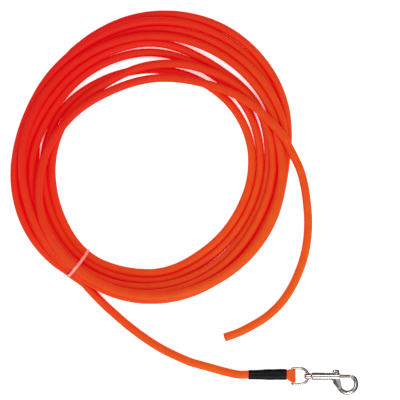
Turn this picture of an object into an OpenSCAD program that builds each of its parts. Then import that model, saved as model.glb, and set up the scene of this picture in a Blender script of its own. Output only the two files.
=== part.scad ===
// Training leash: a long coated line, coiled and tied, with a swivelling bolt snap on one end.
// Millimetres. The origin is under the middle of the bolt snap, on the surface that the leash
// lies on. +X runs from the line towards the tip of the hook, +Z is up.

/* [Line] */
// Diameter of the coated line
line_d = 6.2; // [5.8:0.1:6.4]
// Diameter of the cord inside the coating
core_d = 2.6; // [2:0.2:3.4]

/* [Coil] */
// Height of the bundle of turns
coil_h = 20; // [17:0.5:22]
// Angle round the coil at which the tie sits
tie_angle = 232; // [215:1:236]
// Width of the tie band
tie_w = 2; // [1.5:0.5:4]
// Thickness of the tie band
tie_t = 0.5; // [0.3:0.1:0.8]

/* [Sleeve and fold] */
// Length of the heat-shrink sleeve
sleeve_len = 28.5; // [26:0.5:32]
// Wall of the sleeve
sleeve_wall = 0.45; // [0.3:0.05:0.6]
// Width of the flattened line where it goes round the eye
fold_w = 9.2; // [8:0.2:9.3]
// Length of the flat strip that is turned back under the line
strip_len = 19; // [14:1:22]

/* [Swivel eye] */
// Diameter of the eye's wire
eye_wire = 2; // [1.8:0.1:2.2]
// Width of the eye, across the line's direction
eye_w = 14; // [13.6:0.1:14.4]
// Diameter of the swivel stud's shaft
stud_d = 2.1; // [1.8:0.1:2.3]

/* [Bolt snap] */
// Diameter of the shank
shank_d = 5.3; // [5:0.1:5.6]
// Length of the shank
shank_len = 21; // [20:0.5:22]
// Diameter of the sliding bolt
bolt_d = 2.3; // [2:0.1:2.5]
// Travel of the bolt from closed to fully open
bolt_travel = 8; // [7:0.5:8]
// Radius of the hook's curve, at its middle line
hook_r = 6.6; // [6.4:0.1:6.8]
// Width of the hook's section, in the plane of the hook
hook_w = 3.2; // [2.8:0.1:3.4]
// Thickness of the hook
hook_t = 3.8; // [3.2:0.1:4.4]

/* [Hidden] */

orange = "orangered";
nickel = "silver";
fit = 0.08;                     // radial clearance of a running fit
gap = 0.3;                      // space between pieces that pass each other

// The snap's own axis, along X. The shank lies on the ground.
axis_y = 3.5;
axis_z = shank_d / 2;

// Swivel eye: a D with a straight bar for the line and a half circle towards the snap
bar_x = -24.3;
arc_x = -18.3;
eye_r = (eye_w - eye_wire) / 2;
corner_r = 1.2;
boss_r = 2.3;
boss_x = arc_x + eye_r - 1.5;
boss_len = 3.4;
stud_head_d = 3.6;
stud_head_t = 1.1;

// Bolt snap
shank_x = -9.8;
shank_front = shank_x + shank_len;
stud_x = shank_x + 1.4;
bore_x = shank_x + 1.7;
bolt_rear = 2.8;
bolt_front = 19.3;
knob_x = 8.6;
knob_stem_d = 1.4;
knob_d = 5;
knob_t = 1.85;
hook_x = 17.1;
hook_y = -2.3;
tip_angle = 50;
base_angle = 205;
spring_wire = 0.36;
spring_turns = 7;

// Sleeve and folded end
sleeve_y = axis_y + 1.3;
sleeve_z = line_d / 2 + sleeve_wall;
sleeve_x = -57;
sleeve_end = sleeve_x + sleeve_len;
fold_bore = eye_wire / 2 + fit;
strip_t = 1.6;
flat_w = 7.2;
whipping_x = sleeve_end - 11;
whipping_len = 5;
whipping_t = 0.4;

// Coil: distance of the bundle's edges from its centre, every 30 degrees from +X
coil_x = -128.5;
coil_y = 159.5;
outer_edge = [102, 112, 119.5, 116.5, 110.5, 105, 104.5, 105.5, 103.5, 102, 100.5, 101.5];
inner_edge = [72.5, 73.5, 71, 64, 63.5, 69, 73, 76, 79.5, 75.5, 70.5, 70];
coil_steps = 48;
// Slices of the bundle: height as a share of coil_h, and how far the edges stand back
coil_slices = [[0, 0.1, 1.6], [0.1, 0.68, 0], [0.68, 0.86, 2], [0.86, 1, 4.4]];

// Loose stretches of the line, outside the coil
low = line_d / 2;                // height of the line's middle where it lies on the ground
free_tail_route = [
    [-32, 181.5, 12], [-25, 170.5, 10], [-19, 158.5, 8], [-15.5, 146, 6.5],
    [-13.5, 133, 5.5], [-12.5, 120, 4.5], [-13, 107.5, 4], [-15, 95, 3.5], [-19, 82.5, 3.2],
    [-25, 69.5, low], [-33, 58, low], [-43, 48.5, low], [-54, 41.5, low], [-65, 36, low],
    [-75, 32.5, low]];
snap_tail_route = [
    [-184, 76, low], [-176.5, 66.5, low], [-167, 57, low], [-157, 49, low], [-147.5, 41.5, low],
    [-138, 34.5, low], [-128.5, 28, low], [-119, 22.5, low], [-109.5, 18, low], [-100, 14, low],
    [-87.5, 10.5, low], [-75, 7, 3.2], [-64.5, sleeve_y, sleeve_z], [sleeve_x, sleeve_y, sleeve_z]];

// Value of a list that goes once round the coil, at any angle
function round_the_coil(list, angle) =
    let (n = len(list), t = angle / 360 * n, i = floor(t), f = t - i,
         a = list[(i + n - 1) % n], b = list[i % n], c = list[(i + 1) % n], d = list[(i + 2) % n])
    b + f / 2 * (c - a + f * (2 * a - 5 * b + 4 * c - d + f * (3 * (b - c) + d - a)));

function edge_points(list, inset) =
    [for (k = [0 : coil_steps - 1])
        let (angle = 360 * k / coil_steps, r = round_the_coil(list, angle) + inset)
        [r * cos(angle), r * sin(angle)]];

function hook_point(r, angle) = [hook_x + r * cos(angle), hook_y + r * sin(angle)];

function unit(v) = v / norm(v);

function heading(route, i) =
    unit(route[min(i + 1, len(route) - 1)] - route[max(i - 1, 0)]);

function ring_points(route, i, r, sides) =
    let (t = heading(route, i), side = unit(cross([0, 0, 1], t)), up = cross(t, side))
    [for (k = [0 : sides - 1])
        route[i] + r * (cos(360 * k / sides) * side + sin(360 * k / sides) * up)];

module swept_line(route, r, sides = 12) {
    n = len(route);
    points = [for (i = [0 : n - 1]) each ring_points(route, i, r, sides)];
    walls = [for (i = [0 : n - 2], k = [0 : sides - 1])
        let (a = i * sides + k, b = i * sides + (k + 1) % sides)
        each [[a, b, b + sides], [a, b + sides, a + sides]]];
    start_cap = [[for (k = [0 : sides - 1]) sides - 1 - k]];
    end_cap = [[for (k = [0 : sides - 1]) (n - 1) * sides + k]];
    polyhedron(points, concat(walls, start_cap, end_cap));
}

module along_x(x0, x1, r, fn = 48) {
    translate([x0, axis_y, axis_z])
        rotate([0, 90, 0])
            cylinder(h = x1 - x0, r = r, $fn = fn);
}

// A flat outline in the plane of the snap, t thick, level with the snap's axis
module level_plate(t) {
    translate([0, 0, axis_z - t / 2])
        linear_extrude(t) children();
}

// An outline in the X-Z plane, w wide along Y about y
module upright_plate(w, y) {
    translate([0, y + w / 2, 0])
        rotate([90, 0, 0])
            linear_extrude(w) children();
}

// A flat oval, its length along Y, pushed along X from x0 to x1
module oval_bar(x0, x1, y, z, w, h) {
    for (s = [-1, 1])
        translate([x0, y + s * (w - h) / 2, z])
            rotate([0, 90, 0])
                cylinder(h = x1 - x0, d = h, $fn = 40);
    translate([x0, y - (w - h) / 2, z - h / 2])
        cube([x1 - x0, w - h, h]);
}

module at_the_tie() {
    translate([coil_x, coil_y, 0])
        rotate([0, 0, tie_angle])
            rotate([90, 0, 0])
                children();
}

// Cross-section of the bundle where the tie draws it in, standing back by inset
module tie_section(inset) {
    lo = round_the_coil(inner_edge, tie_angle) + inset;
    hi = round_the_coil(outer_edge, tie_angle) - inset;
    cut = 4;
    polygon([[lo + cut, inset], [hi - cut, inset], [hi, cut], [hi, coil_h - cut],
             [hi - cut, coil_h - inset], [lo + cut, coil_h - inset], [lo, coil_h - cut],
             [lo, cut]]);
}

module line_coil() {
    color(orange)
        difference() {
            translate([coil_x, coil_y, 0])
                for (s = coil_slices)
                    translate([0, 0, s[0] * coil_h])
                        linear_extrude((s[1] - s[0]) * coil_h)
                            difference() {
                                polygon(edge_points(outer_edge, -s[2]));
                                polygon(edge_points(inner_edge, s[2]));
                            }
            at_the_tie()
                difference() {
                    translate([60, -1, -tie_w / 2])
                        cube([60, coil_h + 2, tie_w]);
                    translate([0, 0, -tie_w])
                        linear_extrude(2 * tie_w) tie_section(tie_t);
                }
        }
}

module coil_tie() {
    color("lavenderblush")
        at_the_tie()
            translate([0, 0, -tie_w / 2])
                linear_extrude(tie_w)
                    difference() {
                        tie_section(0);
                        tie_section(tie_t);
                    }
}

// A round bar in the free end, len deep and standing proud of it
module core_bar(r, len, proud = 0) {
    last = free_tail_route[len(free_tail_route) - 1];
    t = heading(free_tail_route, len(free_tail_route) - 1);
    translate(last)
        rotate([0, 0, atan2(t[1], t[0])])
            rotate([0, -90, 0])
                translate([0, 0, -proud])
                    cylinder(h = len + proud, r = r, $fn = 32);
}

module free_tail() {
    color(orange)
        difference() {
            swept_line(free_tail_route, line_d / 2);
            core_bar(core_d / 2, 9, 1);
        }
}

module line_core() {
    color("ivory") core_bar(core_d / 2, 9);
}

module snap_tail() {
    color(orange) swept_line(snap_tail_route, line_d / 2);
}

// Side view of the line where it goes round the eye's bar, with the bar's bore
module fold_profile() {
    difference() {
        union() {
            translate([bar_x, axis_z]) circle(r = axis_z, $fn = 64);
            polygon([[bar_x, 0], [bar_x, 2 * axis_z], [sleeve_end, sleeve_z + 2.6],
                     [sleeve_end, sleeve_wall]]);
        }
        translate([bar_x, axis_z]) circle(r = fold_bore, $fn = 48);
        translate([sleeve_end - 1, axis_z - 0.1]) square([bar_x - sleeve_end + 1, 0.2]);
    }
}

// Top view of the same stretch: it spreads from the sleeve to the bar
module fold_plan() {
    polygon([[sleeve_end, sleeve_y - flat_w / 2], [sleeve_end, sleeve_y + flat_w / 2],
             [bar_x - 1.6, axis_y + fold_w / 2], [bar_x + 3, axis_y + fold_w / 2],
             [bar_x + 3, axis_y - fold_w / 2], [bar_x - 0.8, axis_y - fold_w / 2]]);
}

// The flat strip of line that comes back from the eye, pressed against the line
module turned_back_strip(strip_x) {
    intersection() {
        oval_bar(strip_x, sleeve_end, sleeve_y, sleeve_wall + strip_t / 2, flat_w + 2, strip_t);
        oval_bar(strip_x, sleeve_end, sleeve_y, sleeve_z, flat_w, line_d);
    }
}

module folded_end() {
    strip_x = sleeve_end - strip_len;
    color(orange)
        difference() {
            union() {
                intersection() {
                    upright_plate(20, axis_y) fold_profile();
                    linear_extrude(10) fold_plan();
                }
                translate([sleeve_x, sleeve_y, sleeve_z])
                    rotate([0, 90, 0])
                        cylinder(h = sleeve_len, d = line_d, $fn = 48);
                turned_back_strip(strip_x);
            }
            difference() {
                translate([whipping_x, sleeve_y - 5, -1])
                    cube([whipping_len, 10, 10]);
                whipping_core();
            }
        }
}

module whipping_core() {
    oval_bar(whipping_x - 1, whipping_x + whipping_len + 1, sleeve_y, sleeve_z,
             flat_w - 2 * whipping_t, line_d - 2 * whipping_t);
}

module whipping() {
    color("dimgray")
        difference() {
            oval_bar(whipping_x, whipping_x + whipping_len, sleeve_y, sleeve_z, flat_w, line_d);
            whipping_core();
        }
}

module shrink_sleeve() {
    step_x = sleeve_end - strip_len;
    wall = 2 * sleeve_wall;
    color("black")
        difference() {
            union() {
                oval_bar(sleeve_x, step_x, sleeve_y, sleeve_z, line_d + wall + 0.01, line_d + wall);
                oval_bar(step_x, sleeve_end, sleeve_y, sleeve_z, flat_w + wall, line_d + wall);
            }
            translate([sleeve_x - 1, sleeve_y, sleeve_z])
                rotate([0, 90, 0])
                    cylinder(h = sleeve_len + 2, d = line_d, $fn = 48);
            oval_bar(step_x, sleeve_end + 1, sleeve_y, sleeve_z, flat_w, line_d);
        }
}

module wire(length) {
    cylinder(h = length, d = eye_wire, $fn = 32);
}

module swivel_eye() {
    top = eye_r - corner_r;
    color(nickel)
        difference() {
            union() {
                translate([bar_x, axis_y - top, axis_z]) rotate([-90, 0, 0]) wire(2 * top);
                for (s = [-1, 1]) {
                    translate([bar_x + corner_r, axis_y + s * top, axis_z])
                        rotate([0, 0, s > 0 ? 90 : 180])
                            rotate_extrude(angle = 90, $fn = 32)
                                translate([corner_r, 0]) circle(d = eye_wire, $fn = 32);
                    translate([bar_x + corner_r, axis_y + s * eye_r, axis_z])
                        rotate([0, 90, 0]) wire(arc_x - bar_x - corner_r);
                }
                translate([arc_x, axis_y, axis_z])
                    rotate([0, 0, -90])
                        rotate_extrude(angle = 180, $fn = 72)
                            translate([eye_r, 0]) circle(d = eye_wire, $fn = 32);
                along_x(boss_x, boss_x + boss_len, boss_r);
            }
            along_x(boss_x - 1, boss_x + boss_len + 1, stud_d / 2 + fit);
        }
}

module swivel_stud() {
    head_x = boss_x - 0.15;
    color(nickel) {
        along_x(head_x - 0.01, stud_x, stud_d / 2);
        along_x(head_x - stud_head_t + 0.4, head_x, stud_head_d / 2);
        translate([head_x - stud_head_t, axis_y, axis_z])
            rotate([0, 90, 0])
                cylinder(h = 0.4, d1 = stud_head_d - 0.9, d2 = stud_head_d, $fn = 48);
    }
}

module hook_section() {
    sides = 20;
    polygon([for (k = [0 : sides - 1])
        let (angle = 360 * (k + 0.5) / sides)
        [hook_w / 2 * cos(angle), hook_t / 2 * sin(angle)]]);
}

// Web that joins the start of the hook to the front of the shank, bevelled on its outer side
module hook_root() {
    inner_side = [[shank_front, axis_y - 1], [12, -0.6], [12.6, -3.6], [12.8, -5.2]];
    hull() {
        level_plate(hook_t / 3) polygon(concat([[5, axis_y - 1]], inner_side, [[11.2, -7.6], [6.3, -1.6]]));
        level_plate(hook_t) polygon(concat([[7.5, axis_y - 1]], inner_side, [[12.2, -7], [9, -1.4]]));
    }
}

// The hook's end narrows and turns back to meet the bolt
module hook_nose() {
    face_x = bolt_front + gap;
    inner = hook_r - hook_w / 2;
    outer = hook_r + hook_w / 2;
    polygon([hook_point(inner, tip_angle - 4), hook_point(inner, tip_angle),
             [face_x, axis_y - 1.4], [face_x, axis_y + 0.3], [face_x + 0.7, axis_y + 0.8],
             hook_point(outer, tip_angle), hook_point(outer, tip_angle - 4)]);
}

module snap_body() {
    slot_back = knob_x - bolt_travel - knob_stem_d / 2 - 0.2;
    slot_front = knob_x + knob_stem_d / 2 + 0.1;
    slot_h = knob_stem_d + 0.3;
    color(nickel)
        difference() {
            union() {
                along_x(shank_x + 0.6, shank_front, shank_d / 2, 64);
                translate([shank_x, axis_y, axis_z])
                    rotate([0, 90, 0])
                        cylinder(h = 0.6, d1 = shank_d - 1, d2 = shank_d, $fn = 64);
                translate([hook_x, hook_y, axis_z])
                    rotate([0, 0, base_angle])
                        rotate_extrude(angle = 360 + tip_angle - base_angle, $fn = 96)
                            translate([hook_r, 0]) hook_section();
                hook_root();
                level_plate(hook_t - 1) hook_nose();
            }
            along_x(bore_x, shank_front + 1, bolt_d / 2 + fit);
            along_x(shank_x - 1, stud_x, stud_d / 2);
            translate([slot_back, axis_y, axis_z - slot_h / 2])
                cube([slot_front - slot_back, shank_d, slot_h]);
        }
}

module bolt() {
    color(nickel)
        difference() {
            union() {
                along_x(bolt_rear, bolt_front - 0.3, bolt_d / 2);
                translate([bolt_front - 0.3, axis_y, axis_z])
                    rotate([0, 90, 0])
                        cylinder(h = 0.3, d1 = bolt_d, d2 = bolt_d - 0.6, $fn = 48);
            }
            knob_hole();
        }
}

module knob_hole() {
    translate([knob_x, axis_y - 0.2, axis_z])
        rotate([-90, 0, 0])
            cylinder(h = bolt_d, d = knob_stem_d, $fn = 32);
}

module thumb_knob() {
    head_y = axis_y + shank_d / 2 + gap;
    color(nickel) {
        translate([knob_x, axis_y - 0.2, axis_z])
            rotate([-90, 0, 0])
                cylinder(h = head_y - axis_y + 0.3, d = knob_stem_d, $fn = 32);
        translate([knob_x, head_y, axis_z])
            rotate([-90, 0, 0]) {
                cylinder(h = knob_t - 0.5, d = knob_d, $fn = 48);
                translate([0, 0, knob_t - 0.5])
                    cylinder(h = 0.5, d1 = knob_d, d2 = knob_d - 0.8, $fn = 48);
            }
    }
}

// The spring's turns, as rings that stand in the bore behind the bolt
module bolt_spring() {
    first = bore_x + spring_wire / 2;
    pitch = (bolt_rear - bore_x - spring_wire) / spring_turns;
    color("gray")
        for (k = [0 : spring_turns])
            translate([first + k * pitch, axis_y, axis_z])
                rotate([0, 90, 0])
                    rotate_extrude($fn = 32)
                        translate([bolt_d / 2 - spring_wire / 2 - 0.05, 0])
                            circle(d = spring_wire, $fn = 16);
}

line_coil();
free_tail();
line_core();
snap_tail();
folded_end();
whipping();
shrink_sleeve();
coil_tie();
swivel_eye();
swivel_stud();
snap_body();
bolt();
thumb_knob();
bolt_spring();
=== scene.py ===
"""Looks of the training leash: a long coated line, coiled and tied, with a swivelling bolt snap.

Lengths are in millimetres, in the CAD frame, and become metres where a mesh or a light is made.
"""
import math

import bmesh
import bpy
import numpy as np
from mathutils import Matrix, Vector


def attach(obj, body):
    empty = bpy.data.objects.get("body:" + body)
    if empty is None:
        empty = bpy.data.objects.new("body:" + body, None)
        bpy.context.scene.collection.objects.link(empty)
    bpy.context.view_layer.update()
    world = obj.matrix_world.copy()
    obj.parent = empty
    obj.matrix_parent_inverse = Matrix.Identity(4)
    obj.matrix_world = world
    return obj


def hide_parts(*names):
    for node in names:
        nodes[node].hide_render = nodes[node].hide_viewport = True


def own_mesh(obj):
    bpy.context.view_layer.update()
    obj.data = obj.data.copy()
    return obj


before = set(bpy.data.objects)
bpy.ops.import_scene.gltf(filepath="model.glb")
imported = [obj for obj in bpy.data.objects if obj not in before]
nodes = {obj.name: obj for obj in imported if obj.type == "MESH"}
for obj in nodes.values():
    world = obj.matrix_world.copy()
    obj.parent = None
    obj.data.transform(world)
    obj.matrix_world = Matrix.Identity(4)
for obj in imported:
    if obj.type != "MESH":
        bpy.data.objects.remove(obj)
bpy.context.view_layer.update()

MM = 0.001
scene = bpy.context.scene


# ---------------------------------------------------------------- camera

AIM = (-93.3, 135.45)
FIELD = 300.0
CAMERA_HEIGHT = 1700.0
SENSOR = 36.0


def make_camera():
    data = bpy.data.cameras.new("camera")
    data.sensor_width = SENSOR
    data.lens = SENSOR * CAMERA_HEIGHT / FIELD
    data.clip_end = 20
    camera = bpy.data.objects.new("camera", data)
    camera.location = (AIM[0] * MM, AIM[1] * MM, CAMERA_HEIGHT * MM)
    scene.collection.objects.link(camera)
    scene.camera = camera


make_camera()


# ---------------------------------------------------------------- the line's route

LINE_R = 3.1
CORE_R = 1.3
COIL_CENTRE = np.array([-128.5, 159.5])
COIL_EDGE = 110                 # the coil's turns cross the tie nearer its centre than this
STEP = 3.0                      # distance between points along the line
TIE_ANGLE = 232                 # round the coil, from +X anticlockwise
SLEEVE_Z = 3.55                 # middle of the sleeve, and of the line inside it
STATIONS = 12                   # places in a lap where its distance is given
SPACING = 360 / STATIONS

# Distance of each lap from the coil's centre at each station, from +X anticlockwise.
# The line runs clockwise, from the lap at the snap's end to the lap at the free end.
LAPS = [
    [93, 105, 110.5, 110.5, 105, 100.5, 101, 101.5, 100, 98.5, 97, 96],
    [97, 109.5, 116.5, 113.5, 105, 94, 88, 90, 91, 90.5, 91.5, 93],
    [95.5, 103.5, 104.5, 104.5, 102.5, 97, 95.5, 96, 96, 95.5, 95, 95.5],
    [86, 90.5, 88, 93.5, 92, 92.5, 97, 98, 97.5, 97, 95, 93],
    [79.5, 83, 83.5, 86.5, 86.5, 86.5, 91, 94, 93.5, 91.5, 87.5, 84],
    [75.5, 75.5, 74, 73.5, 75, 80.5, 82.5, 84.5, 88, 85.5, 79.5, 77.5],
    [91, 90.5, 83.5, 77, 72.5, 74.5, 76.5, 79.5, 83.5, 80.5, 74, 73],
    [97.5, 99, 98.5, 98.5, 98, 98, 97, 95.5, 94.5, 93.5, 91.5, 89],
    [107.5, 88.5, 73, 66.5, 65.5, 72.5, 83, 92.5, 95, 95.5, 95.5, 96]]
# Degrees travelled round the coil where it starts and ends
COIL_FIRST = 135
COIL_LAST = 360 * len(LAPS) - 12
# Order in which the laps are laid down: (degrees travelled, layers up from the ground)
LAID = [(135, 9.7), (255, 9.7), (285, 3.6), (300, 2.83), (315, 2.35), (330, 2.35), (360, 2.5),
        (450, 1.6), (540, 1.5), (720, 2.0), (3240, 9.0)]
LAYER = 6.3

# Stretches that aren't coiled
SNAP_TAIL = [
    (-47.5, 4.8, SLEEVE_Z), (-57, 4.8, SLEEVE_Z), (-64.5, 4.8, SLEEVE_Z), (-75, 7, 3.2),
    (-87.5, 10.5, LINE_R),
    (-100, 14, LINE_R), (-109.5, 18, LINE_R), (-119, 22.5, LINE_R), (-128.5, 28, LINE_R),
    (-138, 34.5, LINE_R), (-147.5, 41.5, LINE_R), (-157, 49, LINE_R), (-167, 57, LINE_R),
    (-176.5, 66.5, LINE_R), (-184, 76, LINE_R), (-193, 83, LINE_R)]
FREE_TAIL = [
    (-25, 170.5, 16.5), (-19, 158.5, 13.5), (-15.5, 146, 10.8), (-13.5, 133, 8.4), (-12.5, 120, 6.5),
    (-13, 107.5, 5.1), (-15, 95, 4.1), (-19, 82.5, 3.5), (-25, 69.5, LINE_R), (-33, 58, LINE_R),
    (-43, 48.5, LINE_R), (-54, 41.5, LINE_R), (-65, 36, LINE_R), (-75, 32.5, LINE_R)]


def catmull(values, at):
    """Smooth curve through values, read at the places in at, counted in values."""
    values = np.asarray(values, float)
    at = np.asarray(at, float)
    i = np.clip(np.floor(at).astype(int), 0, len(values) - 2)
    t = (at - i).reshape((-1,) + (1,) * (values.ndim - 1))
    v = np.concatenate([[2 * values[0] - values[1]], values, [2 * values[-1] - values[-2]]])
    a, b, c, d = v[i], v[i + 1], v[i + 2], v[i + 3]
    return b + t / 2 * (c - a + t * (2 * a - 5 * b + 4 * c - d + t * (3 * (b - c) + d - a)))


def evenly(points, step):
    """A smooth curve through points, with a new point at each step of its length in plan."""
    fine = catmull(points, np.linspace(0, len(points) - 1, 24 * len(points)))
    run = np.r_[0, np.cumsum(np.linalg.norm(np.diff(fine[:, :2], axis=0), axis=1))]
    at = np.linspace(0, run[-1], int(round(run[-1] / step)) + 1)
    return np.stack([np.interp(at, run, fine[:, k]) for k in range(3)], axis=1)


def coil_route():
    """The coil's turns as they are wound, each layer clear of the one below."""
    walk = [lap[k] for lap in LAPS for k in reversed(range(STATIONS))]
    travel = np.arange(COIL_FIRST, COIL_LAST, 6.0)
    radius = catmull(walk, travel / SPACING - 1)
    angle = np.radians(-travel)
    layer = np.interp(travel, *zip(*LAID))
    return np.stack([COIL_CENTRE[0] + radius * np.cos(angle),
                     COIL_CENTRE[1] + radius * np.sin(angle),
                     LINE_R + LAYER * layer], axis=1)


def near_pairs(path, reach, skip):
    """Pairs of points closer than reach that aren't near each other along the line."""
    p = path.astype(np.float32)
    away = sum((p[:, None, k] - p[None, :, k]) ** 2 for k in range(3))
    first, second = np.nonzero(np.triu(away < reach ** 2, skip + 1))
    return first, second


def push_apart(path, first, second, apart, lean):
    """Moves close pairs apart until they only touch. lean is how easily they slip sideways."""
    across = path[second] - path[first]
    distance = np.linalg.norm(across, axis=1)
    close = distance < apart
    first, second = first[close], second[close]
    across, distance = across[close], distance[close]
    normal = across / distance[:, None]
    way = normal * (lean, lean, 1)
    share = (apart - distance) / 2 / (way * normal).sum(axis=1)
    push = way * share[:, None]
    n = len(path)
    count = np.bincount(first, minlength=n) + np.bincount(second, minlength=n)
    gain = 1.5 / np.maximum(count, 1)
    for k in range(3):
        total = np.bincount(second, push[:, k], n) - np.bincount(first, push[:, k], n)
        path[:, k] += total * gain


def settle(path, start, end, rounds=500, apart=6.14, lean=0.7, keep=0.95):
    """Lets the wound coil fall and bed down on the ground. start and end are the coil's own points.

    The turns fall, stay smooth, keep near their own plan and never pass through each other. The
    stretches that aren't coiled end up where they are drawn.
    """
    highest = 18                # for the free stretch where it leaves the coil
    home = path.copy()
    rest = path.copy()
    rest[:, 2] = np.minimum(rest[:, 2], highest)
    rest[:start, 2] = np.minimum(rest[:start, 2], SLEEVE_Z)
    rest[:, 2] = np.maximum(rest[:, 2], LINE_R)
    k = np.arange(len(path))
    hold = np.clip((start - 6 - k) / 14, 0, 1) + np.clip((k - end - 5) / 10, 0, 1)
    hold = hold[:, None]
    reach = 55                  # points over which each end rises to the coil before it falls
    rise = np.clip((k[:start] - start + reach) / reach, 0, 1)
    path[:start, 2] += (home[start + 1, 2] - home[:start, 2]) * rise
    fall = np.clip((end + reach - k[end:]) / reach, 0, 1)
    path[end:, 2] += (home[end - 2, 2] - home[end:, 2]) * fall
    span = 8                    # points over which the heights are smoothed
    for turn in range(rounds):
        done = turn / rounds
        if turn % 8 == 0:
            first, second = near_pairs(path, 9.5, 8)
        path[:, 2] -= 0.4 if done < 0.5 else 0.15 if done < 0.8 else 0.04
        drift = (path[:, :2] - home[:, :2]) * keep
        for s in (1, 5):
            drift[s:-s] += 0.4 * ((drift[:-2 * s] + drift[2 * s:]) / 2 - drift[s:-s])
        path[:, :2] = home[:, :2] + drift
        z = path[:, 2]
        z[span:-span] += 0.25 * ((z[:-2 * span] + z[2 * span:]) / 2 - z[span:-span])
        z[1:-1] += 0.5 * ((z[:-2] + z[2:]) / 2 - z[1:-1])
        grip = min(max((done - 0.55) / 0.25, 0), 1) ** 2
        for _ in range(5):
            push_apart(path, first, second, apart, lean)
            path[:, 2] = np.maximum(path[:, 2], LINE_R)
            path[:, :2] += hold * (rest - path)[:, :2]
            path[:, 2:] += grip * hold * (rest - path)[:, 2:]
    return path


def squeeze(path):
    """Draws the turns together where the tie holds them."""
    middle, most, spread_deg = 91.5, 0.2, 20
    coil_only = 125, 15         # fades from this distance inwards, over this much
    out = path[:, :2] - COIL_CENTRE
    radius = np.linalg.norm(out, axis=1)
    from_tie = (np.degrees(np.arctan2(out[:, 1], out[:, 0])) - TIE_ANGLE + 180) % 360 - 180
    share = most * np.exp(-(from_tie / spread_deg) ** 2)
    share *= np.clip((coil_only[0] - radius) / coil_only[1], 0, 1)
    path[:, :2] -= out / radius[:, None] * (share * (radius - middle))[:, None]
    return path


def line_path():
    """The whole line, from inside the sleeve to its free end."""
    coil = coil_route()
    path = evenly(np.vstack([SNAP_TAIL, coil, FREE_TAIL]), STEP)
    ends = 120                  # points at each end that hold the stretches that aren't coiled

    def nearest(part, point):
        return int(np.argmin(np.linalg.norm(part[:, :2] - point[:2], axis=1)))

    start = nearest(path[:ends], coil[0])
    end = len(path) - ends + nearest(path[-ends:], coil[-1])
    return squeeze(settle(path, start, end))


# ---------------------------------------------------------------- mesh tools

def make_mesh(name, points, faces, material):
    """A smooth-shaded object from points in millimetres."""
    mesh = bpy.data.meshes.new(name)
    mesh.from_pydata((np.asarray(points) * MM).tolist(), [], faces)
    mesh.validate()
    mesh.shade_smooth()
    mesh.materials.append(material)
    piece = bpy.data.objects.new(name, mesh)
    scene.collection.objects.link(piece)
    return piece


def skin(rings, closed=False, caps=(True, True)):
    """Points and faces of a skin over rings of equally many points. closed joins last to first."""
    count, sides = len(rings), len(rings[0])
    points = [p for ring in rings for p in ring]
    faces = []
    for i in range(count if closed else count - 1):
        a, b = i * sides, (i + 1) % count * sides
        for k in range(sides):
            n = (k + 1) % sides
            faces.append((a + k, a + n, b + n, b + k))
    if caps[0] and not closed:
        faces.append(tuple(reversed(range(sides))))
    if caps[1] and not closed:
        faces.append(tuple(range((count - 1) * sides, count * sides)))
    return points, faces


def headings(path):
    way = np.gradient(path, axis=0)
    return way / np.linalg.norm(way, axis=1)[:, None]


def carried_sides(way):
    """A direction across each heading, carried along the path without twist."""
    side = np.cross((0, 0, 1), way[0])
    sides = []
    for t in way:
        side = side - (side @ t) * t
        side = side / np.linalg.norm(side)
        sides.append(side)
    return np.array(sides)


def round_rings(path, radii, count):
    """Rings of the given radii square to the path. radii is a number or one for each point."""
    way = headings(path)
    side = carried_sides(way)
    up = np.cross(way, side)
    angle = np.linspace(0, 2 * math.pi, count, endpoint=False)
    radii = np.broadcast_to(radii, len(path))
    return [centre + r * (np.outer(np.cos(angle), s) + np.outer(np.sin(angle), u))
            for centre, r, s, u in zip(path, radii, side, up)]


def squared_ring(centre, side, up, width, height, power, count=32):
    """A rounded box outline, width along side and height along up."""
    angle = np.linspace(0, 2 * math.pi, count, endpoint=False)
    c, s = np.cos(angle), np.sin(angle)
    x = np.sign(c) * np.abs(c) ** (2 / power) * width / 2
    y = np.sign(s) * np.abs(s) ** (2 / power) * height / 2
    return np.asarray(centre) + np.outer(x, side) + np.outer(y, up)


# ---------------------------------------------------------------- material tools

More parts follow.
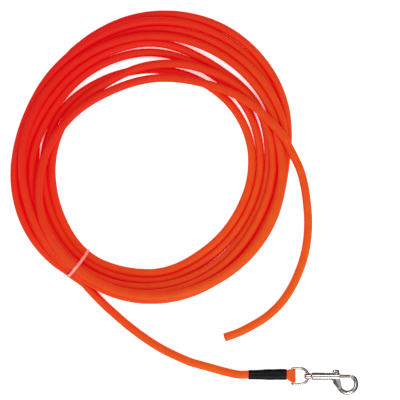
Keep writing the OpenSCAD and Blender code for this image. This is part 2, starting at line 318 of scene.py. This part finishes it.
class Surface:
    """A Principled material, and short ways to add its procedural detail."""

    def __init__(self, name, color, roughness, metallic=0.0):
        self.material = bpy.data.materials.new(name)
        self.material.use_nodes = True
        self.tree = self.material.node_tree
        self.shader = self.tree.nodes["Principled BSDF"]
        self.set("Base Color", (*color, 1))
        self.set("Roughness", roughness)
        self.set("Metallic", metallic)
        self.place = self.node("ShaderNodeTexCoord").outputs["Object"]

    def set(self, socket, value):
        self.shader.inputs[socket].default_value = value

    def node(self, kind, **settings):
        made = self.tree.nodes.new(kind)
        for key, value in settings.items():
            setattr(made, key, value)
        return made

    def link(self, output, target):
        self.tree.links.new(output, target)

    def stretched(self, scale):
        """Object coordinates, multiplied by scale along each axis."""
        mapping = self.node("ShaderNodeMapping")
        mapping.inputs["Scale"].default_value = scale
        self.link(self.place, mapping.inputs["Vector"])
        return mapping.outputs["Vector"]

    def noise(self, size, detail=3.0, stretch=None):
        """Noise with features of about size millimetres."""
        noise = self.node("ShaderNodeTexNoise")
        noise.inputs["Scale"].default_value = 1 / (size * MM)
        noise.inputs["Detail"].default_value = detail
        self.link(self.stretched(stretch) if stretch else self.place, noise.inputs["Vector"])
        return noise.outputs["Fac"]

    def openness(self, reach):
        """How open the surface is to its surroundings within reach millimetres, from 0 to 1."""
        made = self.node("ShaderNodeAmbientOcclusion", samples=6)
        made.inputs["Distance"].default_value = reach * MM
        return made.outputs["AO"]

    def spread(self, source, from_range, to_range):
        """source, with one range turned into another and held inside it."""
        made = self.node("ShaderNodeMapRange")
        for socket, value in zip(("From Min", "From Max", "To Min", "To Max"),
                                 (*from_range, *to_range)):
            made.inputs[socket].default_value = value
        self.link(source, made.inputs["Value"])
        return made.outputs["Result"]

    def blend(self, factor, low, high):
        """A colour between low and high. Either one is a colour or an output."""
        made = self.node("ShaderNodeMix", data_type="RGBA")
        self.link(factor, made.inputs["Factor"])
        for socket, value in (("A", low), ("B", high)):
            target = next(s for s in made.inputs if s.name == socket and s.type == "RGBA")
            if isinstance(value, tuple):
                target.default_value = (*value, 1)
            else:
                self.link(value, target)
        return next(s for s in made.outputs if s.type == "RGBA")

    def color_from(self, output):
        self.link(output, self.shader.inputs["Base Color"])

    def roughness_from(self, source, low, high):
        self.link(self.spread(source, (0.3, 0.7), (low, high)), self.shader.inputs["Roughness"])

    def bump(self, source, height):
        """Relief of about height millimetres."""
        made = self.node("ShaderNodeBump")
        made.inputs["Distance"].default_value = height * MM
        last = self.shader.inputs["Normal"]
        if last.is_linked:
            self.link(last.links[0].from_socket, made.inputs["Normal"])
        self.link(source, made.inputs["Height"])
        self.link(made.outputs["Normal"], last)


# ---------------------------------------------------------------- materials

def coated_line():
    """Satin neon coating, faintly mottled, with a painted gradient of light: lighter and more orange
    towards the snap, darker and redder away from it.

    Painted shade makes the valleys between the turns deep red, and a painted red glow lifts the
    shade between the turns.
    """
    s = Surface("line_coating", (0.6, 0.06, 0.01), 0.4)
    # painted light: lighter and more orange towards +X and -Y, where the light falls, darker and
    # redder towards -X and +Y
    split = s.node("ShaderNodeSeparateXYZ")
    s.link(s.place, split.inputs["Vector"])
    tilt = s.node("ShaderNodeMath", operation="SUBTRACT")
    s.link(split.outputs["X"], tilt.inputs[0])
    s.link(split.outputs["Y"], tilt.inputs[1])
    across = s.spread(tilt.outputs["Value"], (-0.42, -0.1), (0, 1))
    painted_light_tint = s.blend(across, (0.47, 0.018, 0.003), (0.5, 0.125, 0.005))
    mottle = s.spread(s.noise(9), (0.35, 0.65), (0, 0.2))
    # painted shade: the coating turns deep red where the turns hem each other in
    painted_valley_shade = s.spread(s.openness(9), (0.3, 0.75), (0, 1))
    s.color_from(s.blend(painted_valley_shade, (0.43, 0.001, 0.004),
                         s.blend(mottle, painted_light_tint, (0.45, 0.008, 0.003))))
    # painted glow: a red emission that lights the coating and lifts its shade, though it is no lamp
    s.set("Emission Color", (1, 0, 0.012, 1))
    s.set("Emission Strength", 0.36)
    s.roughness_from(s.noise(4), 0.36, 0.48)
    s.set("Specular IOR Level", 0.1)
    s.bump(s.noise(1.1, detail=4), 0.03)
    s.bump(s.noise(12), 0.12)
    return s.material


def core_fibre():
    s = Surface("line_core", (0.7, 0.66, 0.56), 0.85)
    strands = s.noise(0.25, detail=5)
    s.color_from(s.blend(s.spread(strands, (0.35, 0.65), (0, 1)),
                         (0.5, 0.46, 0.38), (0.8, 0.77, 0.68)))
    s.bump(strands, 0.08)
    return s.material


def waxed_thread():
    """Dark thread wound round the line: one ridge each half millimetre along X."""
    s = Surface("whipping", (0.02, 0.02, 0.022), 0.6)
    wave = s.node("ShaderNodeTexWave", bands_direction="X")
    wave.inputs["Scale"].default_value = 0.31 / (0.5 * MM)
    s.link(s.place, wave.inputs["Vector"])
    s.bump(wave.outputs["Fac"], 0.12)
    s.color_from(s.blend(wave.outputs["Fac"], (0.008, 0.008, 0.009), (0.035, 0.034, 0.036)))
    return s.material


def heat_shrink():
    """Satin black tube, with faint marks along it from being drawn down."""
    s = Surface("heat_shrink", (0.012, 0.011, 0.013), 0.36)
    s.set("Specular IOR Level", 0.16)
    marks = s.noise(1.3, detail=4, stretch=(0.25, 1, 1))
    s.color_from(s.blend(s.spread(marks, (0.4, 0.7), (0, 1)),
                         (0.004, 0.003, 0.004), (0.012, 0.010, 0.013)))
    s.roughness_from(s.noise(3, stretch=(0.4, 1, 1)), 0.28, 0.46)
    s.bump(marks, 0.1)
    s.bump(s.noise(0.5), 0.012)
    return s.material


def clear_band():
    """Pale, slightly cloudy plastic band."""
    s = Surface("clear_band", (0.92, 0.52, 0.48), 0.3)
    cloud = s.spread(s.noise(2.5), (0.35, 0.65), (0, 1))
    s.color_from(s.blend(cloud, (0.98, 0.32, 0.29), (1, 0.46, 0.42)))
    # painted glow: a faint pink emission that brightens the band
    s.set("Emission Color", (1, 0.2, 0.18, 1))
    s.set("Emission Strength", 0.14)
    s.set("Subsurface Weight", 0.2)
    s.set("Subsurface Radius", (0.002, 0.001, 0.001))
    s.bump(s.noise(1.2), 0.03)
    return s.material


def nickel(name="nickel_plate", tarnish=0.25, clean=(0.82, 0.79, 0.75)):
    """Bright plating over a casting: soft ripples, duller patches, and painted shade in the corners
    and where parts meet.
    """
    s = Surface(name, (0.8, 0.77, 0.73), 0.14, metallic=1.0)
    patches = s.spread(s.noise(3.5, detail=4), (0.45, 0.75), (0, tarnish))
    worn = s.blend(patches, clean, (0.5, 0.42, 0.36))
    # painted shade: darker brown where the surface is hemmed in by its own corners, other parts or
    # the floor
    painted_corner_shade = s.spread(s.openness(1.6), (0.75, 0.3), (0, 0.85))
    s.color_from(s.blend(painted_corner_shade, worn, (0.10, 0.055, 0.04)))
    s.roughness_from(s.noise(1.5, detail=4), 0.1, 0.24)
    s.bump(s.noise(1.6), 0.03)
    s.bump(s.noise(0.15), 0.003)
    return s.material


def drawn_wire():
    s = Surface("spring_steel", (0.42, 0.41, 0.41), 0.3, metallic=1.0)
    s.roughness_from(s.noise(0.4), 0.22, 0.42)
    s.color_from(s.blend(s.noise(1.0), (0.3, 0.29, 0.29), (0.5, 0.5, 0.5)))
    return s.material


def white_paper():
    """A white table that glows evenly, as if lit from below, with painted shade where its glow fades
    in the narrowest gaps.
    """
    s = Surface("white_paper", (0.93, 0.93, 0.93), 0.9)
    s.set("Specular IOR Level", 0.1)
    s.set("Emission Color", (1, 1, 1, 1))
    # painted shade: the table's glow fades out where the line hems it in
    s.link(s.spread(s.openness(25), (0.03, 0.15), (0, 0.74)), s.shader.inputs["Emission Strength"])
    s.bump(s.noise(2), 0.01)
    return s.material


coating = coated_line()
plating = nickel()


# ---------------------------------------------------------------- the line

def make_core(path):
    """The twisted cord inside the coating, where it shows at the free end."""
    bar = evenly(path[-5:], 0.5)
    bar = np.vstack([bar, bar[-1] + headings(bar)[-1] * 0.35])
    way = headings(bar)
    side = carried_sides(way)
    up = np.cross(way, side)
    angle = np.linspace(0, 2 * math.pi, 30, endpoint=False)
    rings = []
    for i, centre in enumerate(bar):
        lobes = CORE_R * (0.93 + 0.07 * np.cos(6 * angle + 0.35 * i))
        lobes *= 0.9 if i == len(bar) - 1 else 1
        rings.append(centre + np.outer(lobes * np.cos(angle), side[i])
                     + np.outer(lobes * np.sin(angle), up[i]))
    return make_mesh("line_core_cord", *skin(rings), core_fibre())


def make_line(path):
    """The coated line, with a square cut at its free end where the core shows."""
    sides = 18
    way = headings(path)[-1]
    end = path[-1]
    wall = round_rings(path, LINE_R, sides)
    # The cut end: a slight round on the edge, the coating's face, then the hole for the core
    lip = [end + way * along + (wall[-1] - end) * (r / LINE_R)
           for along, r in ((0.1, LINE_R - 0.12), (0.1, CORE_R), (-2.5, CORE_R))]
    return make_mesh("coated_line", *skin(wall + lip), coating)


path = line_path()
line = make_line(path)
core = make_core(path)


# ---------------------------------------------------------------- sleeve and fold

SLEEVE_X = (-57.0, -28.5)
SLEEVE_WALL = 0.45
SLEEVE_SIDES = 48
STRIP_X = -47.5                  # where the strip that is turned back ends, under the sleeve
BAR_X, BAR_Z = -24.3, 2.65       # middle of the eye's straight bar
ACROSS, UP = np.array([0, 1, 0]), np.array([0, 0, 1])


def sleeve_size(x):
    """Outer width and middle Y of the sleeve at x."""
    share = np.clip((x - SLEEVE_X[0]) / (SLEEVE_X[1] - SLEEVE_X[0]), 0, 1)
    step = 1 / (1 + math.exp(-(x - STRIP_X - 1.0) / 0.9))
    return 7.1 + 0.75 * step + 0.35 * share, 4.75 + 0.3 * (share - 0.35)


def sleeve_ring(x, inset, wrinkle):
    width, y = sleeve_size(x)
    ring = squared_ring((x, y, SLEEVE_Z), ACROSS, UP,
                        width - 2 * inset, 2 * (SLEEVE_Z - inset), 2.25, SLEEVE_SIDES)
    angle = np.linspace(0, 2 * math.pi, SLEEVE_SIDES, endpoint=False)
    folds = (np.sin(3 * angle + x * 0.9) * np.sin(x * 1.7 + 2 * np.cos(angle))
             + 0.6 * np.sin(5 * angle - x * 0.6))
    outwards = (ring - (x, y, SLEEVE_Z)) / SLEEVE_Z
    ring = ring + outwards * (folds * wrinkle)[:, None]
    ring[:, 2] = np.maximum(ring[:, 2], 0.01 + inset)
    return ring


def make_sleeve():
    """A shrunk tube: rolled ends, a step over the turned-back strip, shallow wrinkles."""
    first, last = SLEEVE_X
    outer = [(first, 0.3), (first + 0.05, 0.15), (first + 0.2, 0.03)]
    outer += [(x, 0) for x in np.arange(first + 0.6, last - 0.3, 0.4)]
    outer += [(last - 0.2, 0.03), (last - 0.05, 0.15), (last, 0.3)]
    rings = [sleeve_ring(x, inset, 0.05 if inset == 0 else 0.02) for x, inset in outer]
    rings += [sleeve_ring(x, SLEEVE_WALL, 0) for x in np.arange(last - 0.05, first, -1.5)]
    return make_mesh("shrink_tube", *skin(rings, closed=True), heat_shrink())


def make_fold():
    """The line's end: pressed flat, round the eye's bar, and back under itself."""
    mid_r = 1.9                  # from the bar's middle to the middle of the pressed line
    # X, Z, Y, width, thickness, squareness of the section
    over = [(STRIP_X + 0.3, SLEEVE_Z, 4.8, 6.2, 6.2, 2), (-45, 3.8, 4.8, 6.1, 5.2, 2),
            (-42, 4.1, 4.85, 6.3, 4.6, 2.1), (-36, 4.2, 4.9, 6.5, 4.3, 2.2),
            (-31, 4.25, 4.95, 6.6, 4.2, 2.3), (-28.6, 4.3, 4.9, 6.9, 4.0, 2.4),
            (-27.4, 4.4, 4.65, 7.7, 3.3, 2.6), (-26.2, 4.5, 4.3, 8.6, 2.5, 2.9),
            (-25.1, 4.58, 4.0, 9.2, 1.8, 3.2)]
    turn = [(BAR_X + mid_r * math.sin(a), BAR_Z + mid_r * math.cos(a), 3.75, 9.6, 1.5, 3.6)
            for a in np.radians(np.arange(0, 181, 15))]
    under = [(-26.2, 0.86, 4.1, 8.8, 1.5, 3.2), (-28.6, 1.15, 4.85, 6.6, 1.35, 2.8),
             (-33, 1.2, 4.85, 5.6, 1.3, 2.5), (-40, 1.2, 4.8, 5.2, 1.3, 2.5),
             (STRIP_X + 0.2, 1.25, 4.8, 4.8, 1.2, 2.5)]
    stations = np.array(over + turn + under)
    fine = catmull(stations, np.linspace(0, len(stations) - 1, 6 * len(stations)))
    way = headings(fine[:, [0, 2, 1]] * (1, 0, 1))
    rings = []
    for (x, z, y, width, thickness, power), t in zip(fine, way):
        rings.append(squared_ring((x, y, z), ACROSS, np.cross(t, ACROSS),
                                  width, thickness, power, 40))
    return make_mesh("folded_line_end", *skin(rings), coating)


fold = make_fold()
sleeve = make_sleeve()


# ---------------------------------------------------------------- the tie

TIE_W = 2.0
TIE_T = 0.5


def convex_outline(points):
    """Corners of the smallest convex outline round flat points, anticlockwise."""
    points = sorted(map(tuple, points))

    def half(run):
        kept = []
        for p in run:
            while len(kept) > 1:
                (ax, ay), (bx, by) = kept[-2:]
                if (bx - ax) * (p[1] - ay) - (by - ay) * (p[0] - ax) > 0:
                    break
                kept.pop()
            kept.append(p)
        return kept[:-1]

    return np.array(half(points) + half(reversed(points)))


def strands_at(angle):
    """Where the line crosses the upright half plane at angle: (distance from the centre, Z)."""
    out = np.array([math.cos(angle), math.sin(angle)])
    flat = path[:, :2] - COIL_CENTRE
    beyond = flat @ (-out[1], out[0])
    i = np.nonzero((beyond[:-1] * beyond[1:] <= 0) & (flat[:-1] @ out > 0))[0]
    share = (beyond[i] / (beyond[i] - beyond[i + 1]))[:, None]
    at = path[i] + share * (path[i + 1] - path[i])
    return np.stack([(at[:, :2] - COIL_CENTRE) @ out, at[:, 2]], axis=1)


def make_tie():
    """A thin band drawn tight round the turns, bowed a little where it crosses them."""
    angle = math.radians(TIE_ANGLE)
    strands = strands_at(angle)
    strands = strands[strands[:, 0] < COIL_EDGE]
    round_angle = np.linspace(0, 2 * math.pi, 24, endpoint=False)
    circle = np.stack([np.cos(round_angle), np.sin(round_angle)], axis=1) * (LINE_R + 0.05)
    outline = convex_outline((strands[:, None] + circle[None]).reshape(-1, 2))
    closed = np.vstack([outline, outline[:1]])
    run = np.r_[0, np.cumsum(np.linalg.norm(np.diff(closed, axis=0), axis=1))]
    at = np.linspace(0, run[-1], 90, endpoint=False)
    loop = np.stack([np.interp(at, run, closed[:, k]) for k in range(2)], axis=1)
    tangent = np.roll(loop, -1, axis=0) - np.roll(loop, 1, axis=0)
    tangent /= np.linalg.norm(tangent, axis=1)[:, None]
    normal = np.stack([tangent[:, 1], -tangent[:, 0]], axis=1)
    radial = np.array([math.cos(angle), math.sin(angle), 0])
    sideways = np.array([-math.sin(angle), math.cos(angle), 0])
    middle = loop[:, 0].mean()
    half = (loop[:, 0].max() - loop[:, 0].min()) / 2
    top_z = 8                   # above this the band is over the turns, and bows the most
    rings = []
    for (r, z), (nr, nz) in zip(loop, normal):
        bow = 1.1 * (1 - ((r - middle) / half) ** 2) * (1 if z > top_z else 0.2)
        outward = radial * nr + UP * nz
        centre = (np.append(COIL_CENTRE, 0) + radial * r + UP * max(z, 0.3)
                  + outward * TIE_T / 2 + sideways * bow)
        centre[2] = max(centre[2], TIE_T / 2 + 0.02)
        rings.append(squared_ring(centre, sideways, outward, TIE_W, TIE_T, 3.5, 16))
    return make_mesh("tie_band", *skin(rings, closed=True), clear_band())


tie = make_tie()


# ---------------------------------------------------------------- the snap and its eye

AXIS_Y, AXIS_Z = 3.5, 2.65
BORE_X = -8.1
BOLT_REAR = 2.8
BOLT_D = 2.3
SPRING_WIRE = 0.36
SPRING_TURNS = 8


def cast_copy(node, name, voxel, rounds, material):
    """A CAD node's shape with the soft edges of a plated casting."""
    piece = bpy.data.objects.new(name, nodes[node].data.copy())
    scene.collection.objects.link(piece)
    body = bmesh.new()
    body.from_mesh(piece.data)
    bmesh.ops.remove_doubles(body, verts=body.verts, dist=0.002 * MM)
    body.to_mesh(piece.data)
    body.free()
    remesh = piece.modifiers.new("remesh", "REMESH")
    remesh.mode = "VOXEL"
    remesh.voxel_size = voxel * MM
    soften = piece.modifiers.new("soften", "SMOOTH")
    soften.factor = 0.5
    soften.iterations = rounds
    final = bpy.data.meshes.new_from_object(
        piece.evaluated_get(bpy.context.evaluated_depsgraph_get()))
    piece.modifiers.clear()
    piece.data = final
    final.materials.clear()
    final.materials.append(material)
    final.shade_smooth()
    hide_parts(node)
    return piece


def lathe_y(profile, x, y, z, count):
    """Rings round an axis along +Y through (x, y, z). profile lists (distance along Y, radius)."""
    angle = np.linspace(0, 2 * math.pi, count, endpoint=False)
    rings = []
    for along, radius in profile:
        r = radius(angle) if callable(radius) else np.full(count, float(radius))
        rings.append(np.stack([x + r * np.sin(angle), np.full(count, y + along),
                               z + r * np.cos(angle)], axis=1))
    return rings


KNOB_X = 8.6
KNOB_GAP = 0.3                   # between the shank and the knob's head
SHANK_R = 2.65


def make_knob():
    """The thumb knob: a stem out of the bolt, and a domed head with a grooved rim."""

    def grooved(radius):
        return lambda angle: radius - 0.09 * np.abs(np.sin(8 * angle)) ** 6

    head = SHANK_R + KNOB_GAP
    profile = [(-0.2, 0.68), (head - 0.15, 0.7), (head, 0.85), (head + 0.02, 2.15),
               (head + 0.15, 2.36), (head + 0.3, grooved(2.46)), (head + 0.85, grooved(2.48)),
               (head + 1.35, grooved(2.46)), (head + 1.52, 2.3), (head + 1.68, 1.9),
               (head + 1.8, 1.2), (head + 1.84, 0.3)]
    rings = lathe_y(profile, KNOB_X, AXIS_Y, AXIS_Z, 64)
    return make_mesh("knob_button", *skin(rings), nickel("knob_plate", 0.35))


def make_spring():
    """The helical spring behind the bolt, with closed end turns."""
    wire_r = SPRING_WIRE / 2
    radius = BOLT_D / 2 - wire_r - 0.05
    share = np.linspace(0, 1, SPRING_TURNS * 28 + 1)
    first, last = BORE_X + wire_r, BOLT_REAR - wire_r
    eased = np.interp(share, (0, 0.1, 0.9, 1), (0, 0.03, 0.97, 1))
    angle = share * SPRING_TURNS * 2 * math.pi
    helix = np.stack([first + eased * (last - first), AXIS_Y + radius * np.cos(angle),
                      AXIS_Z + radius * np.sin(angle)], axis=1)
    return make_mesh("helical_spring", *skin(round_rings(helix, wire_r, 10)), drawn_wire())


snap_casting = cast_copy("snap_body", "snap_casting", 0.14, 7, plating)
eye_casting = cast_copy("swivel_eye", "eye_casting", 0.12, 8, plating)
knob = make_knob()
spring = make_spring()


# ---------------------------------------------------------------- onto the frame

# painted shade: the stud and the bolt get a darker copy of the plating, for the shade and dark
# reflections they sit in
painted_dark_plate = nickel("painted_shade_plate", 0.8, clean=(0.33, 0.25, 0.2))
for name, material in (("swivel_stud", painted_dark_plate), ("bolt", painted_dark_plate), ("whipping", waxed_thread())):
    nodes[name].data.materials.clear()
    nodes[name].data.materials.append(material)

RIDERS = [
    (line, "line", "line_coating", ("line_coil", "free_tail", "snap_tail")),
    (core, "line", "line_core", ("line_core",)),
    (fold, "line", "line_coating", ("folded_end",)),
    (sleeve, "line", "sleeve", ("shrink_sleeve",)),
    (tie, "line", "tie", ("coil_tie",)),
    (eye_casting, "eye", "nickel_plate", ()),
    (snap_casting, "snap", "nickel_plate", ()),
    (spring, "snap", "spring_steel", ("bolt_spring",)),
    (knob, "bolt", "nickel_plate", ("thumb_knob",))]
for piece, body, slot, replaced in RIDERS:
    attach(piece, body)
    if replaced:
        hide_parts(*replaced)

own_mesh(spring)


# ---------------------------------------------------------------- floor and light

def flat_plate(name, corners, material):
    plate = make_mesh(name, corners, [(0, 1, 2, 3)], material)
    return plate


def make_floor():
    """The table. What reflects it sees a darker one, so that the metal keeps its dark edges."""
    x, y = AIM
    r = 3000
    corners = [(x - r, y - r), (x + r, y - r), (x + r, y + r), (x - r, y + r)]
    floor = flat_plate("floor", [(*corner, -0.05) for corner in corners], white_paper())
    floor.visible_glossy = False
    reflection_card("floor_card", [(*corner, -0.03) for corner in corners], (0.09, 0.06, 0.05))


def reflection_card(name, corners, color, glow=0.0):
    """A card that only reflections show."""
    s = Surface("paint_" + name, color, 0.9)
    s.set("Emission Color", (1, 1, 1, 1))
    s.set("Emission Strength", glow)
    card = flat_plate(name, corners, s.material)
    card.visible_camera = False
    card.visible_diffuse = False
    card.visible_shadow = False
    card.visible_transmission = False


def make_surround():
    """Dark walls round the table and a card overhead, which draw the metal's dark lines."""
    dark = (0.03, 0.018, 0.014)
    reflection_card("overhead", [(-1500, -480, 500), (1500, -480, 500), (1500, -106, 500),
                                 (-1500, -106, 500)], dark)
    corners = [(-700, -700), (600, -700), (600, 700), (-700, 700)]
    heights = (80, 1000, 900, 250)
    for k, ((x0, y0), high) in enumerate(zip(corners, heights)):
        x1, y1 = corners[(k + 1) % 4]
        reflection_card(f"wall_{k}", [(x0, y0, 0), (x1, y1, 0), (x1, y1, high), (x0, y0, high)],
                        dark)
    reflection_card("glow_card", [(-800, -500, 250), (-800, 500, 250), (-800, 500, 900),
                                  (-800, -500, 900)], (1, 1, 1), 1.2)


def area_light(name, place, target, size, power):
    data = bpy.data.lights.new(name, "AREA")
    data.shape = "DISK"
    data.size = size * MM
    data.energy = power
    lamp = bpy.data.objects.new(name, data)
    lamp.location = Vector(place) * MM
    lamp.rotation_euler = (Vector(target) - Vector(place)).to_track_quat("-Z", "Y").to_euler()
    scene.collection.objects.link(lamp)


def make_light():
    world = bpy.data.worlds.new("studio")
    world.use_nodes = True
    background = world.node_tree.nodes["Background"]
    background.inputs["Color"].default_value = (1, 1, 1, 1)
    background.inputs["Strength"].default_value = 0.42
    scene.world = world
    x, y = AIM
    area_light("key", (x + 300, y - 1000, 1000), (x, y, 0), 900, 10)
    area_light("fill", (x, y + 450, 1100), (x, y, 0), 520, 2)


make_floor()
make_light()
make_surround()
scene.view_settings.view_transform = "Standard"
